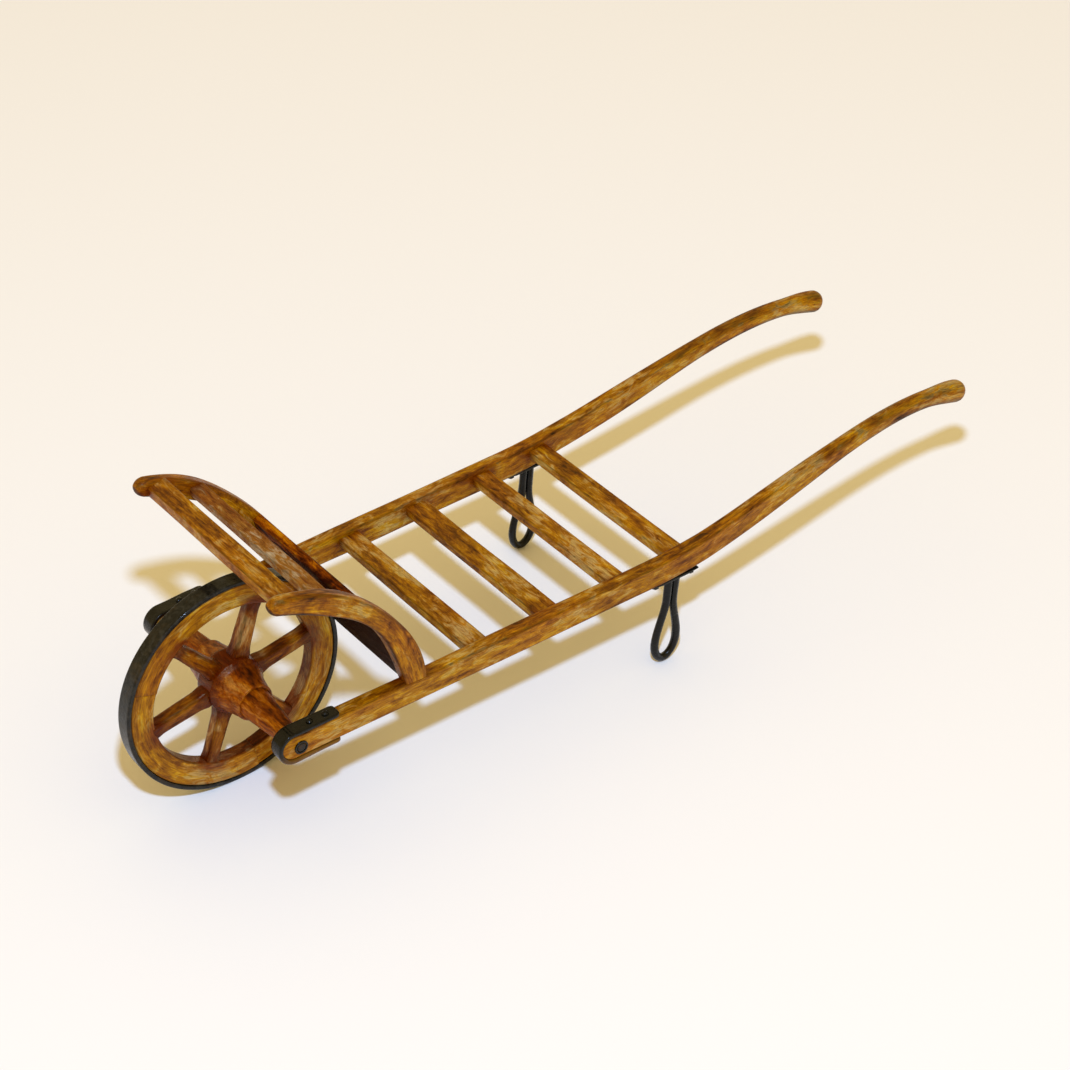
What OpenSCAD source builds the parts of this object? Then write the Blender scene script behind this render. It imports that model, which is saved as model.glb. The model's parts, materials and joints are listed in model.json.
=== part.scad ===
// Antique flat-bed wooden wheelbarrow: two shafts, four bed slats, a curved
// forward guard on two arms, iron loop legs and one spoked wheel.
// Frame: +X is forward, the wheel end, +Y is the left side and +Z is up.
// The origin is on the ground under the middle of the overall box.
// A distance called s is measured along X, backwards from the axle.

/* [Overall] */
// Length from the front of the tyre to the ends of the grips
overall_l = 1904; // [1750:1:2300]
// Width over the outer faces of the two shafts at the axle
frame_w = 474; // [430:1:620]
// Outward splay of each shaft towards the rear, in degrees
splay = 0.85; // [0:0.05:1.5]

/* [Wheel] */
// Diameter over the iron tyre
wheel_d = 462; // [440:1:560]
// Thickness of the tyre
tyre_t = 9; // [4:1:12]
// Width of the tyre across the tread
tyre_w = 34; // [28:1:60]
// Width of the felloes
felloe_w = 31; // [24:1:56]
// Radial depth of the felloes
felloe_h = 49; // [36:1:60]
// Number of felloes in the rim
felloe_n = 3; // [2:1:4]
// Number of spokes in each felloe
spokes_each = 2; // [1:1:3]
// Turn of the wheel, so that the first spoke stands at this angle from +X
wheel_turn = 50; // [0:1:120]
// Width of a spoke at the hub
spoke_w = 33; // [20:1:44]
// Width of a spoke at the rim
spoke_tip_w = 27; // [18:1:40]
// Thickness of a spoke along the axle
spoke_t = 26; // [16:1:30]
// Diameter of a spoke's round tongue in the felloe
tongue_d = 16; // [10:1:20]
// Length of a spoke's tongue
tongue_l = 24; // [12:1:30]
// Depth of a spoke's foot in the hub
foot_l = 16; // [8:1:18]
// Diameter of the dowels between felloes
dowel_d = 12; // [8:1:16]
// Length of a dowel
dowel_l = 50; // [30:1:70]

/* [Hub and axle] */
// Wall of the hub's middle drum around the axle
drum_wall = 26; // [18:1:34]
// Width of the middle drum
drum_w = 50; // [44:1:90]
// Length of the hub
hub_l = 168; // [130:1:200]
// Wall of the hub's nose around the axle where it leaves the drum
nose_wall = 15; // [8:1:20]
// Wall of the hub's nose around the axle at its end
nose_end_wall = 5; // [4:1:12]
// Diameter of the axle inside the hub
axle_d = 66; // [56:1:84]
// Diameter of the axle at its ends
axle_end_d = 42; // [34:1:60]
// Diameter of the axle part of the way out, where its taper eases
axle_mid_d = 48; // [40:1:66]
// Length of each slim stretch at the ends of the axle
axle_slim_l = 40; // [20:1:60]
// Diameter of the iron gudgeon pins
gudgeon_d = 20; // [14:1:24]
// Depth of a gudgeon pin in the end of the axle
gudgeon_in = 70; // [40:1:90]
// Radial running clearance between a gudgeon pin and its bush
run_gap = 0.05; // [0.02:0.01:0.1]
// Side play between the axle and each bush
side_play = 1; // [0.5:0.1:3]
// Wall of the iron bushes
bush_wall = 4; // [3:0.5:6]
// Length that a bush stands out of the shaft's outer face
bush_proud = 2; // [0:0.5:4]
// Length that a bush stands out of the shaft's inner face
bush_inner = 1; // [0.5:0.5:3]

/* [Shafts] */
// Thickness of a shaft
rail_t = 30; // [24:1:44]
// Depth of a shaft
rail_h = 52; // [46:1:70]
// Height of the axle above the shafts' underside
rail_drop = 23; // [21:1:28]
// Wood ahead of the axle's centre
rail_nose = 38; // [34:1:60]
// Distance behind the axle at which the handles begin to rise
crook_s = 800; // [740:5:860]
// Height of the middle of the grips above the middle of the shafts
grip_rise = 83; // [40:1:140]
// Further height of the hump ahead of the grips
hump = 74; // [40:1:90]
// Half depth of the handle at its neck
neck_r = 18.5; // [16:0.5:22]
// Radius of the rounded knob at the end of a grip
knob_r = 23; // [20:0.5:26]
// Length of the knob
knob_l = 118; // [80:1:140]
// Inward lean of the handles behind the bed, in degrees
handle_in = 1.3; // [0:0.1:2]
// Distance behind the axle at which the handles begin to lean in
lean_s = 950; // [900:5:1000]

/* [Bed slats] */
// Distances behind the axle of the slats' middles
slat_s = [415, 580, 746, 894]; // [360:1:940]
// Width of a slat
slat_w = 50; // [36:1:70]
// Thickness of a slat
slat_t = 19; // [14:1:26]
// Depth of the slats' tops below the shafts' tops
slat_sink = 8; // [0:1:14]
// Length of a slat's tenon
tenon_l = 22; // [12:1:26]
// Shoulder left on each edge of a slat beside its tenon
tenon_shoulder = 8; // [4:1:12]
// Diameter of the wooden pegs through the tenons
peg_d = 8; // [6:1:10]

/* [Guard] */
// Thickness of the curved arms
arm_t = 28; // [20:1:30]
// Clearance between the tyre and the front of the board's foot
board_gap = 4; // [4:1:40]
// Width of an arm at its foot, on the shaft's top
arm_foot_w = 46; // [36:1:56]
// Forward reach of an arm, from its foot to the middle of its tip
arm_reach = 279; // [240:1:320]
// Rise of an arm from the shaft's top to the middle of its tip
arm_rise = 299; // [280:1:360]
// How much straighter the right arm's timber is bent than the left's
right_ease = 24; // [0:1:30]
// Radius of an arm's rounded tip
arm_tip_r = 18; // [13:0.5:20]
// Depth of an arm's tenon in the shaft
arm_tenon_l = 30; // [20:1:40]
// Width of the front bar between the tips
top_bar_w = 42; // [30:1:50]
// Thickness of the front bar
top_bar_t = 24; // [16:1:26]
// Distance behind the axle of the front bar's middle
top_bar_s = 1; // [-8:1:12]
// Width of the middle bar
mid_bar_w = 32; // [24:1:38]
// Thickness of the middle bar
mid_bar_t = 18; // [14:1:22]
// Distance behind the axle of the middle bar's middle
mid_bar_s = 84; // [76:1:96]
// Diameter of the round tenons on both bars
bar_tenon_d = 13; // [8:1:14]
// Length of the round tenons on both bars
bar_tenon_l = 16; // [8:1:20]
// Width of the board across the arms' feet
board_w = 133; // [90:1:150]
// Thickness of the board
board_t = 20; // [14:1:24]
// Forward lean of the board, in degrees
board_lean = 16; // [12:1:18]
// Distance of the board's front face behind the arms' front edge
board_set = 2; // [2:1:14]
// Depth of the grooves that hold the board in the arms
board_house = 6; // [3:1:10]

/* [Ironwork] */
// Thickness of the straps around the shafts' noses
strap_t = 8; // [5:1:10]
// Length of each strap leg behind the axle
strap_l = 88; // [80:1:140]
// Diameter of a strap nail's shank
nail_d = 5; // [4:1:6]
// Diameter of a strap nail's head
nail_head_d = 13; // [10:1:16]
// Length of a strap nail's shank in the wood
nail_l = 22; // [12:1:24]
// Thickness of the round bar of the legs
leg_d = 16; // [12:1:20]
// Width over the widest part of a leg's loop
loop_w = 69; // [60:1:90]
// Height of the widest part of a leg's loop above the ground
loop_z = 50; // [42:1:60]
// Length of the two close strands under the shaft
strand_l = 52; // [30:1:70]
// Distance behind the axle of the top of a leg
leg_s = 877; // [850:1:890]
// Forward rake of a leg from top to bottom
leg_rake = 18; // [0:1:40]
// Length of the flattened plate under the shaft
plate_l = 116; // [100:1:150]
// Thickness of the plate
plate_t = 6; // [4:1:8]
// Diameter of a coach screw's shank
screw_d = 8; // [6:1:10]
// Length of a coach screw's shank in the wood
screw_l = 32; // [20:1:40]

/* [Hidden] */

$fn = 64;
WOOD = "#b98732";
DARK_WOOD = "#8a4a1a";
GREY_WOOD = "#9a7a4a";
IRON = "#24261f";

gap = 0.05;        // slip clearance around tenons, pegs and dowels
groove_gap = 0.2;  // clearance around the board in its grooves
over = 1;          // how far a cut runs past the face it opens
wide = 1000;       // wider than the whole barrow

// Places that follow from the driving sizes
arm_s = wheel_d / 2 + board_gap - board_set + arm_foot_w / 2;
axle_z = wheel_d / 2;
axle_x = overall_l / 2 - wheel_d / 2;
rail_z = axle_z - rail_drop;
rail_mid = rail_z + rail_h / 2;
rail_top = rail_z + rail_h;
rail_y = frame_w / 2 - rail_t / 2;
end_s = overall_l - wheel_d / 2;
slat_top = rail_top - slat_sink;
slat_mid = slat_top - slat_t / 2;
drum_d = axle_d + 2 * drum_wall;
nose_d = axle_d + 2 * nose_wall;
nose_end_d = axle_d + 2 * nose_end_wall;
felloe_or = wheel_d / 2 - tyre_t;
felloe_ir = felloe_or - felloe_h;
felloe_mid = (felloe_or + felloe_ir) / 2;
spoke_n = felloe_n * spokes_each;
bush_r = gudgeon_d / 2 + run_gap + bush_wall;
bush_out = frame_w / 2 + bush_proud;
bush_in = frame_w / 2 - rail_t - bush_inner;
axle_half = bush_in - side_play;
arm_tip_z = rail_top + arm_rise;
top_bar_z = arm_tip_z - arm_tip_r + top_bar_t / 2;
mid_bar_z = arm_tip_z - 0.157 * arm_rise;
strand_gap = leg_d / 2 + 0.5;
plate_z = rail_z - plate_t;
slat_peg_l = slat_top - rail_z - 2;

// The middle of the board's foot, set back from the arms' front edge
board_foot_s = arm_s - arm_foot_w / 2 + board_set;
// Middle line of the handles, as a curve of four control points [s, z]
knob_s = end_s - knob_r;
handle = [
    [crook_s, rail_mid],
    [crook_s + 0.38 * (knob_s - crook_s), rail_mid],
    [crook_s + 0.69 * (knob_s - crook_s), rail_mid + grip_rise + hump],
    [knob_s, rail_mid + grip_rise]];

// ---- Functions ----

function bezier(p, t) = pow(1 - t, 3) * p[0] + 3 * pow(1 - t, 2) * t * p[1]
    + 3 * (1 - t) * t * t * p[2] + pow(t, 3) * p[3];
function bezier_dir(p, t) = let (d = pow(1 - t, 2) * (p[1] - p[0])
    + 2 * (1 - t) * t * (p[2] - p[1]) + t * t * (p[3] - p[2])) d / norm(d);
// A pin drawn as a cut, with clearance c, runs on past the face it opens
function past(c) = c > 0 ? over : 0;
function ease(t) = let (u = min(1, max(0, t))) u * u * (3 - 2 * u);
function turned(v) = [-v[1], v[0]];

// Half depth of the handle along its curve: full shaft, then down to the neck
function handle_r(t) = rail_h / 2 + (neck_r - rail_h / 2) * ease((t - 0.3) / 0.6);
// Half width between the shafts' middles, less the inset given, at distance s
function half_span(s, inset) = rail_y + s * tan(splay) - inset / cos(splay);

// ---- Frames and shapes shared by several pieces ----

// A shaft's own frame: X forward along it from the axle, Y from its middle
module on_rail() {
    translate([axle_x, rail_y, 0]) rotate([0, 0, -splay]) children();
}

// The same piece on the right side
module right_side() {
    mirror([0, 1, 0]) children();
}

// Both sides in one node
module both_sides() {
    children();
    mirror([0, 1, 0]) children();
}

// An outline drawn in [x, z], made t thick about Y = 0
module upright(t) {
    rotate([90, 0, 0]) linear_extrude(height = t, center = true) children();
}

// Everything between two upright planes that follow the splayed shafts
module between(inset) {
    front = -200;
    back = 1200;
    translate([axle_x, 0, 0]) linear_extrude(height = wide)
        polygon([[-front, -half_span(front, inset)], [-front, half_span(front, inset)],
                 [-back, half_span(back, inset)], [-back, -half_span(back, inset)]]);
}

// A pin along Y, with its middle at [s, y, z]
module cross_pin(s, y, z, r, l) {
    translate([axle_x - s, y, z]) rotate([90, 0, 0]) cylinder(r = r, h = l, center = true);
}

// The wheel's own frame: its X and Y lie in the wheel's plane
module on_wheel(turn = 0) {
    translate([axle_x, 0, axle_z]) rotate([90, 0, 0]) rotate([0, 0, turn]) children();
}

// ---- Shafts ----

module handle_outline() {
    steps = 36;
    line = [for (i = [0 : steps]) let (t = i / steps, p = bezier(handle, t),
                n = turned(bezier_dir(handle, t)), r = handle_r(t)) [p, n * r]];
    polygon(concat(
        [[rail_nose - rail_h / 2, rail_top], [rail_nose - rail_h / 2, rail_z]],
        [for (q = line) let (e = q[0] - q[1]) [-e[0], e[1]]],
        [for (i = [steps : -1 : 0]) let (e = line[i][0] + line[i][1]) [-e[0], e[1]]]));
}

// A shaft in plan, in its own frame: straight, then leaning in
module rail_plan(t) {
    drift = (knob_s - lean_s) * tan(handle_in + splay);
    polygon([[rail_nose, t / 2], [rail_nose, -t / 2], [-lean_s, -t / 2],
             [-knob_s, -t / 2 - drift], [-knob_s, t / 2 - drift], [-lean_s, t / 2]]);
}

// The rounded knob at the end of the grip, turned about the handle's line: a cone
// that widens out of the handle and ends in a ball
module knob() {
    dir = bezier_dir(handle, 1);
    drift = (knob_s - lean_s) * tan(handle_in + splay);
    turns = 10;
    buried_r = neck_r - 4;
    back = knob_l - knob_r;
    translate([-knob_s, -drift, handle[3][1]])
        rotate([0, 0, handle_in + splay]) rotate([0, atan2(-dir[0], dir[1]), 0])
            rotate_extrude()
                polygon(concat([[0, -back], [buried_r, -back]],
                    [for (i = [0 : turns]) let (a = 90 * i / turns)
                        [knob_r * cos(a), knob_r * sin(a)]]));
}

// Everything cut out of a shaft, in the left shaft's place
module rail_cuts() {
    cross_pin(0, rail_y, axle_z, bush_r, rail_t + 20);
    on_rail() {
        for (i = [1 : len(slat_s)]) slat_tenon(i, gap, over);
        slat_peg_pins(gap);
        arm_tenon(gap);
        nail_pins(gap);
        screw_pins(gap);
    }
    arm_peg_pin(gap);
}

module rail_blank() {
    intersection() {
        upright(wide) handle_outline();
        linear_extrude(height = wide) rail_plan(rail_t);
    }
    translate([rail_nose - rail_h / 2, 0, rail_mid]) rotate([90, 0, 0])
        cylinder(r = rail_h / 2, h = rail_t, center = true);
    knob();
}

module left_rail() {
    color(WOOD) difference() {
        on_rail() rail_blank();
        rail_cuts();
    }
}

// ---- Bed slats ----

// Distance along the shaft to the middle of slat i
function slat_place(i) = slat_s[i - 1] / cos(splay);

// A slat's tenon in the shaft's frame, made larger by c all round
module slat_tenon(i, c, reach) {
    w = slat_w - 2 * tenon_shoulder + 2 * c;
    t = slat_t / 2 + 2 * c;
    translate([-slat_place(i) - w / 2, -rail_t / 2 - reach, slat_mid - t / 2])
        cube([w, tenon_l + reach + c, t]);
}

module slat(i) {
    color(WOOD) difference() {
        union() {
            intersection() {
                translate([axle_x - slat_s[i - 1] - slat_w / 2, -wide / 2, slat_top - slat_t])
                    cube([slat_w, wide, slat_t]);
                between(rail_t / 2);
            }
            both_sides() on_rail() slat_tenon(i, 0, 2);
        }
        both_sides() on_rail() slat_peg_pins(gap);
    }
}

// Pegs driven up through the shafts into the tenons, in the shaft's frame
module slat_peg_pins(c) {
    for (i = [1 : len(slat_s)])
        translate([-slat_place(i), -rail_t / 2 + tenon_l / 2, rail_z - past(c)])
            cylinder(d = peg_d + 2 * c, h = slat_peg_l + past(c) + c);
}

module slat_pegs() {
    color(WOOD) both_sides() on_rail() slat_peg_pins(0);
}

// ---- Forward guard ----

// An arm's back and front edges: curves whose control points are shares of its
// reach and rise, moved forward by ease_in where the timber is less bent
module arm_outline(ease_in) {
    steps = 24;
    foot = -arm_s;
    back = [
        [foot - arm_foot_w / 2, rail_top],
        [foot - 0.047 * arm_reach + ease_in, rail_top + 0.425 * arm_rise],
        [foot + 0.398 * arm_reach + ease_in, rail_top + 0.95 * arm_rise],
        [foot + arm_reach, arm_tip_z + arm_tip_r]];
    front = [
        [foot + arm_foot_w / 2, rail_top],
        [foot + 0.2 * arm_reach + ease_in, rail_top + 0.485 * arm_rise],
        [foot + 0.345 * arm_reach + ease_in, rail_top + 0.72 * arm_rise],
        [foot + arm_reach, arm_tip_z - arm_tip_r]];
    polygon(concat(
        [for (i = [0 : steps]) bezier(front, i / steps)],
        [for (i = [steps : -1 : 0]) bezier(back, i / steps)]));
}

module arm_tenon(c) {
    w = arm_foot_w - 12 + 2 * c;
    t = arm_t / 2 + 2 * c;
    translate([-arm_s - w / 2, -t / 2, rail_top - arm_tenon_l - c])
        cube([w, t, arm_tenon_l + 2 * c + over]);
}

// Peg across the shaft and the arm's tenon, from the inner face, stopped short
module arm_peg_pin(c) {
    inner = half_span(arm_s, rail_t / 2);
    start = inner - past(c);
    stop = inner + rail_t - 4 + c;
    cross_pin(arm_s, (start + stop) / 2, rail_top - arm_tenon_l / 2, peg_d / 2 + c, stop - start);
}

module arm_pegs() {
    color(WOOD) both_sides() arm_peg_pin(0);
}

module arm(ease_in) {
    color(WOOD) difference() {
        on_rail() {
            upright(arm_t) arm_outline(ease_in);
            translate([-arm_s + arm_reach, 0, arm_tip_z]) rotate([90, 0, 0])
                cylinder(r = arm_tip_r, h = arm_t, center = true);
            arm_tenon(0);
        }
        arm_peg_pin(gap);
        cross_pin(top_bar_s, 0, top_bar_z, bar_tenon_d / 2 + gap, bar_pin_l(top_bar_s) + 2 * gap);
        cross_pin(mid_bar_s, 0, mid_bar_z, bar_tenon_d / 2 + gap, bar_pin_l(mid_bar_s) + 2 * gap);
        board_shape(board_house + groove_gap, groove_gap);
    }
}

// Length of the pin that makes both round tenons of a bar
function bar_pin_l(s) = 2 * (half_span(s, arm_t / 2) + bar_tenon_l);

module bar(s, z, w, t) {
    intersection() {
        translate([axle_x - s - w / 2, -wide / 2, z - t / 2]) cube([w, wide, t]);
        between(arm_t / 2);
    }
    cross_pin(s, 0, z, bar_tenon_d / 2, bar_pin_l(s));
}

module top_bar() {
    color(WOOD) bar(top_bar_s, top_bar_z, top_bar_w, top_bar_t);
}

module middle_bar() {
    color(GREY_WOOD) bar(mid_bar_s, mid_bar_z, mid_bar_w, mid_bar_t);
}

// The leaning board, let into the arms by house, made larger by c all round
module board_shape(house, c) {
    intersection() {
        translate([axle_x - board_foot_s, 0, rail_top]) rotate([0, board_lean, 0])
            translate([-board_t - c, -wide / 2, 1 - c])
                cube([board_t + 2 * c, wide, board_w + 2 * c]);
        between(arm_t / 2 - house);
    }
}

module lower_board() {
    color(DARK_WOOD) board_shape(board_house, 0);
}

// ---- Ironwork on the shafts ----

// The outline of a shaft's nose, grown by c, from the strap's end forwards
module nose_block(c, back, t) {
    translate([rail_nose - rail_h / 2, 0, rail_mid]) rotate([90, 0, 0])
        cylinder(r = rail_h / 2 + c, h = t, center = true);
    translate([-back, -t / 2, rail_z - c])
        cube([back + rail_nose - rail_h / 2, t, rail_h + 2 * c]);
}

// Puts a nail, drawn upward from the shaft's middle, at its four places in a strap
module at_nails() {
    for (s = [0.33, 0.72] * strap_l)
        for (up = [0, 1])
            translate([-s, 0, rail_mid]) mirror([0, 0, up]) children();
}

module left_nose_strap() {
    color(IRON) difference() {
        on_rail() nose_block(strap_t, strap_l, rail_t);
        on_rail() nose_block(0, strap_l + over, rail_t + 2 * over);
        on_rail() nail_pins(gap);
    }
}

// Nails through both legs of a strap: the shanks, in the shaft's frame
module nail_pins(c) {
    at_nails() translate([0, 0, rail_h / 2 - nail_l - c])
        cylinder(d = nail_d + 2 * c, h = nail_l + strap_t + past(c) + c);
}

// Domed nail heads that sit on the strap
module nail_heads() {
    head_h = 4;
    ball_r = (pow(nail_head_d / 2, 2) + head_h * head_h) / (2 * head_h);
    at_nails() translate([0, 0, rail_h / 2 + strap_t]) intersection() {
        translate([0, 0, head_h - ball_r]) sphere(r = ball_r);
        cylinder(d = nail_head_d + 2, h = head_h + 1);
    }
}

module strap_nails() {
    color(IRON) both_sides() on_rail() {
        nail_pins(0);
        nail_heads();
    }
}

module left_bush() {
    color(IRON) difference() {
        cross_pin(0, (bush_out + bush_in) / 2, axle_z, bush_r, bush_out - bush_in);
        cross_pin(0, (bush_out + bush_in) / 2, axle_z, gudgeon_d / 2 + run_gap,
                  bush_out - bush_in + 2 * over);
    }
}

// ---- Legs ----

// The middle line of the bar from the front strand's top round to the rear's
function leg_half(u) =
    let (r = (loop_w - leg_d) / 2, top = plate_z + plate_t / 2,
         join = rail_z - strand_l, low = leg_d / 2,
         curve = [[strand_gap, join], [strand_gap, join - 0.36 * (join - loop_z)],
                  [r, loop_z + 0.36 * (join - loop_z)], [r, loop_z]])
    u < 0.2 ? [strand_gap, top + (join - top) * u / 0.2] :
    u < 0.6 ? bezier(curve, (u - 0.2) / 0.4) :
    let (a = 90 * (u - 0.6) / 0.4) [r * cos(a), loop_z - (loop_z - low) * sin(a)];
function leg_line(n) = [for (i = [0 : 2 * n])
    let (p = leg_half(i <= n ? i / n : 2 - i / n), side = i <= n ? 1 : -1,
         rake = leg_rake * (rail_z - p[1]) / rail_z)
    [(i == n ? 0 : side * p[0]) + rake, p[1]]];

// A round bar of radius r swept along a line of [x, z] points
module round_bar(line, r, sides) {
    n = len(line);
    dirs = [for (i = [0 : n - 1])
        let (d = line[min(n - 1, i + 1)] - line[max(0, i - 1)]) d / norm(d)];
    points = [for (i = [0 : n - 1], k = [0 : sides - 1])
        let (a = 360 * k / sides, m = turned(dirs[i]))
        [line[i][0] + r * cos(a) * m[0], r * sin(a), line[i][1] + r * cos(a) * m[1]]];
    walls = [for (i = [0 : n - 2], k = [0 : sides - 1])
        let (k2 = (k + 1) % sides, a = i * sides)
        [a + k, a + k2, a + sides + k2, a + sides + k]];
    polyhedron(points, concat(walls,
        [[for (k = [sides - 1 : -1 : 0]) k]],
        [[for (k = [0 : sides - 1]) (n - 1) * sides + k]]));
}

module left_leg() {
    color(IRON) difference() {
        on_rail() {
            translate([-leg_s, 0, 0]) round_bar(leg_line(22), leg_d / 2, 16);
            translate([-leg_s - plate_l / 2, -rail_t / 2 + 3, plate_z])
                cube([plate_l, rail_t - 6, plate_t]);
        }
        on_rail() screw_pins(gap);
    }
}

// Puts a coach screw, drawn upward from the plate's underside, at the plate's two ends
module at_screws() {
    from_end = 14;
    for (side = [-1, 1])
        translate([-leg_s + side * (plate_l / 2 - from_end), 0, plate_z]) children();
}

// The shanks of the coach screws, in the shaft's frame
module screw_pins(c) {
    at_screws() translate([0, 0, -past(c)])
        cylinder(d = screw_d + 2 * c, h = plate_t + screw_l + past(c) + c);
}

module leg_screws() {
    head_w = 16;
    head_h = 6;
    color(IRON) both_sides() on_rail() {
        screw_pins(0);
        at_screws() translate([0, 0, -head_h]) cylinder(d = head_w, h = head_h, $fn = 6);
    }
}

// ---- Wheel ----

function spoke_angle(k) = wheel_turn + (k - 1) * 360 / spoke_n;
function joint_angle(j) = spoke_angle(1) - 180 / spoke_n + (j - 1) * 360 / felloe_n;

module hub() {
    cove = 10;
    chamfer = 3;
    color(DARK_WOOD) difference() {
        on_wheel() rotate_extrude() polygon([
            [axle_d / 2, -hub_l / 2], [nose_end_d / 2, -hub_l / 2],
            [nose_d / 2, -drum_w / 2 - cove], [drum_d / 2 - chamfer, -drum_w / 2],
            [drum_d / 2, -drum_w / 2 + chamfer], [drum_d / 2, drum_w / 2 - chamfer],
            [drum_d / 2 - chamfer, drum_w / 2], [nose_d / 2, drum_w / 2 + cove],
            [nose_end_d / 2, hub_l / 2], [axle_d / 2, hub_l / 2]]);
        for (k = [1 : spoke_n]) on_wheel(spoke_angle(k)) spoke_foot(gap);
    }
}

// The foot of a spoke in the hub, made larger by c all round
module spoke_foot(c) {
    w = spoke_w - 12 + 2 * c;
    t = spoke_t - 8 + 2 * c;
    translate([drum_d / 2 - foot_l - c, -w / 2, -t / 2]) cube([foot_l + 2 + c, w, t]);
}

// The round tongue of a spoke in the felloe
module spoke_tongue(c) {
    translate([felloe_ir - 3, 0, 0]) rotate([0, 90, 0])
        cylinder(d = tongue_d + 2 * c, h = tongue_l + 3 + c);
}

module spoke(k) {
    color(DARK_WOOD) on_wheel(spoke_angle(k)) {
        difference() {
            intersection() {
                linear_extrude(height = spoke_t, center = true)
                    polygon([[drum_d / 2 - 10, -spoke_w / 2], [felloe_ir + 5, -spoke_tip_w / 2],
                             [felloe_ir + 5, spoke_tip_w / 2], [drum_d / 2 - 10, spoke_w / 2]]);
                cylinder(r = felloe_ir, h = 2 * spoke_t, center = true);
            }
            cylinder(d = drum_d, h = 2 * spoke_t, center = true);
        }
        spoke_foot(0);
        spoke_tongue(0);
    }
}

module dowel_pins(c) {
    for (j = [1 : felloe_n])
        on_wheel(joint_angle(j)) translate([felloe_mid, 0, 0]) rotate([90, 0, 0])
            cylinder(d = dowel_d + 2 * c, h = dowel_l + 2 * c, center = true);
}

module felloe(j) {
    color(WOOD) difference() {
        on_wheel(joint_angle(j)) rotate_extrude(angle = 360 / felloe_n)
            translate([felloe_ir, -felloe_w / 2]) square([felloe_h, felloe_w]);
        for (k = [1 : spoke_n]) on_wheel(spoke_angle(k)) spoke_tongue(gap);
        dowel_pins(gap);
    }
}

module felloe_dowels() {
    color(WOOD) dowel_pins(0);
}

module tyre() {
    color(IRON) on_wheel() rotate_extrude()
        translate([felloe_or, -tyre_w / 2]) square([tyre_t, tyre_w]);
}

module axle() {
    taper_end = axle_half - axle_slim_l;
    color(DARK_WOOD) difference() {
        on_wheel() rotate_extrude() polygon([
            [0, -axle_half], [axle_end_d / 2, -axle_half], [axle_mid_d / 2, -taper_end],
            [axle_d / 2, -hub_l / 2], [axle_d / 2, hub_l / 2],
            [axle_mid_d / 2, taper_end], [axle_end_d / 2, axle_half], [0, axle_half]]);
        both_sides() gudgeon_pin(gap);
    }
}

module gudgeon_pin(c) {
    inner = axle_half - gudgeon_in - c;
    cross_pin(0, (bush_out + inner) / 2, axle_z, gudgeon_d / 2 + c, bush_out - inner);
}

module left_gudgeon() {
    color(IRON) gudgeon_pin(0);
}

// ---- Assembly ----

left_rail();
right_side() left_rail();  // right_rail
for (i = [1 : len(slat_s)]) slat(i);
slat_pegs();
arm(0);  // left_arm
right_side() arm(right_ease);  // right_arm
arm_pegs();
top_bar();
middle_bar();
lower_board();
left_nose_strap();
right_side() left_nose_strap();  // right_nose_strap
strap_nails();
left_bush();
right_side() left_bush();  // right_bush
left_leg();
right_side() left_leg();  // right_leg
leg_screws();
hub();
for (k = [1 : spoke_n]) spoke(k);
for (j = [1 : felloe_n]) felloe(j);
felloe_dowels();
tyre();
axle();
left_gudgeon();
right_side() left_gudgeon();  // right_gudgeon
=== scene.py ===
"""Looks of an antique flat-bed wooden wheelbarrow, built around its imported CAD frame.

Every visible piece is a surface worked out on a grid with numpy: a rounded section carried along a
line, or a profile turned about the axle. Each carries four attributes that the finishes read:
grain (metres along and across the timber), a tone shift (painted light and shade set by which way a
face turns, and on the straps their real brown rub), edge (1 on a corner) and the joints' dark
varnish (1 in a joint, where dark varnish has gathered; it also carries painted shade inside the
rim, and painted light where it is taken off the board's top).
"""

import json
import math

import bpy
import numpy as np
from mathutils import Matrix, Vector


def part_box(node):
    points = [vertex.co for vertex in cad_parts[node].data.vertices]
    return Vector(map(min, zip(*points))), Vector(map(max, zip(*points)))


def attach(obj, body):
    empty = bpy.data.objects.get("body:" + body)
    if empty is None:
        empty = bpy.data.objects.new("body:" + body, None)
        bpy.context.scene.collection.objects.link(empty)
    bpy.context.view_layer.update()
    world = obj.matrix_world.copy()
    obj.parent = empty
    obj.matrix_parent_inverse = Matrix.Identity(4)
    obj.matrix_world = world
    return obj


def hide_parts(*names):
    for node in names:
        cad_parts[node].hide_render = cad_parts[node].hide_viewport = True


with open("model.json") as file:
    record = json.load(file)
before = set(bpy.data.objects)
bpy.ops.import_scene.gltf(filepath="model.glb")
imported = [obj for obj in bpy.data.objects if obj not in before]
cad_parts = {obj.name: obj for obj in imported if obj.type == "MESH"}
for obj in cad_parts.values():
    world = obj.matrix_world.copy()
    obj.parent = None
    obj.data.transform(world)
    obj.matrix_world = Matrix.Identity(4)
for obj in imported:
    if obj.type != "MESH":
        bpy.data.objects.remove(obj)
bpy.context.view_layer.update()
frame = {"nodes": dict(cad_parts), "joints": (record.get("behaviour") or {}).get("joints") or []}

# ---- Sizes, in metres, from the frame and from the barrow's own proportions ----

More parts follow.
